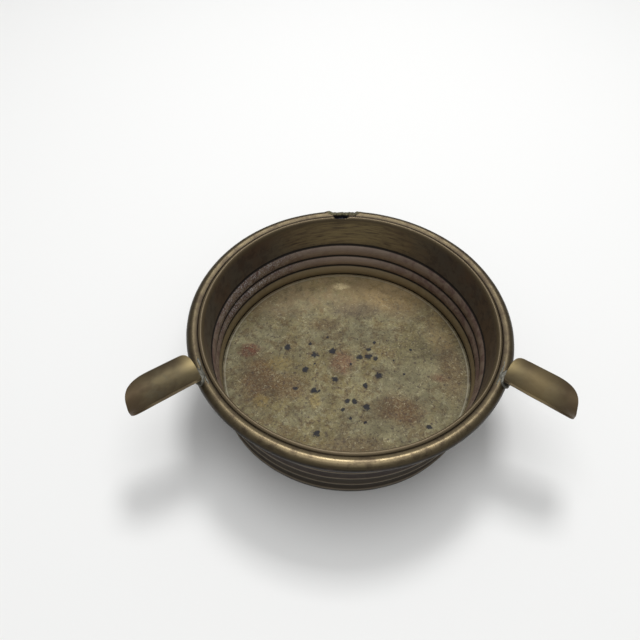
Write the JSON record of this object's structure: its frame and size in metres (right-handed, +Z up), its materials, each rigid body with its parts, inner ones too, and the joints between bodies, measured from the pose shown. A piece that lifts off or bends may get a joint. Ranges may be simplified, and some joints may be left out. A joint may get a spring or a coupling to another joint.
{
  "type": "ribbed brass dish with rests",
  "caption": "Round sheet-brass dish with a ribbed tapered wall, raised flat floor, rolled rim bead and half-round rests soldered on the rim.",
  "frame": {"origin": "on the standing surface, on the dish's axis", "axes": "+Z up, +X to the right rest's side, +Y to the back, where the broken rest was"},
  "size_m": [0.167, 0.13, 0.0464],
  "materials": {
    "wall_brass": "dark aged patina, dusty on the ribs",
    "bead_brass": "rubbed, olive brown, brighter on the crown",
    "floor_brass": "dull olive grey with stains, scratches and dark pits",
    "rest_brass": "smooth, brown and olive patina",
    "solder": "dull grey soft solder",
    "scar_solder": "rough greenish grey soft solder"
  },
  "bodies": {
    "root": {"ribbed_wall": "wall_brass", "rim_bead": "bead_brass", "floor_disc": "floor_brass", "floor_solder": "solder", "bead_solder": "solder", "left_rest": "rest_brass", "right_rest": "rest_brass", "left_rest_solder": "solder", "right_rest_solder": "solder", "rear_solder_scar": "scar_solder"}
  },
  "joints": []
}
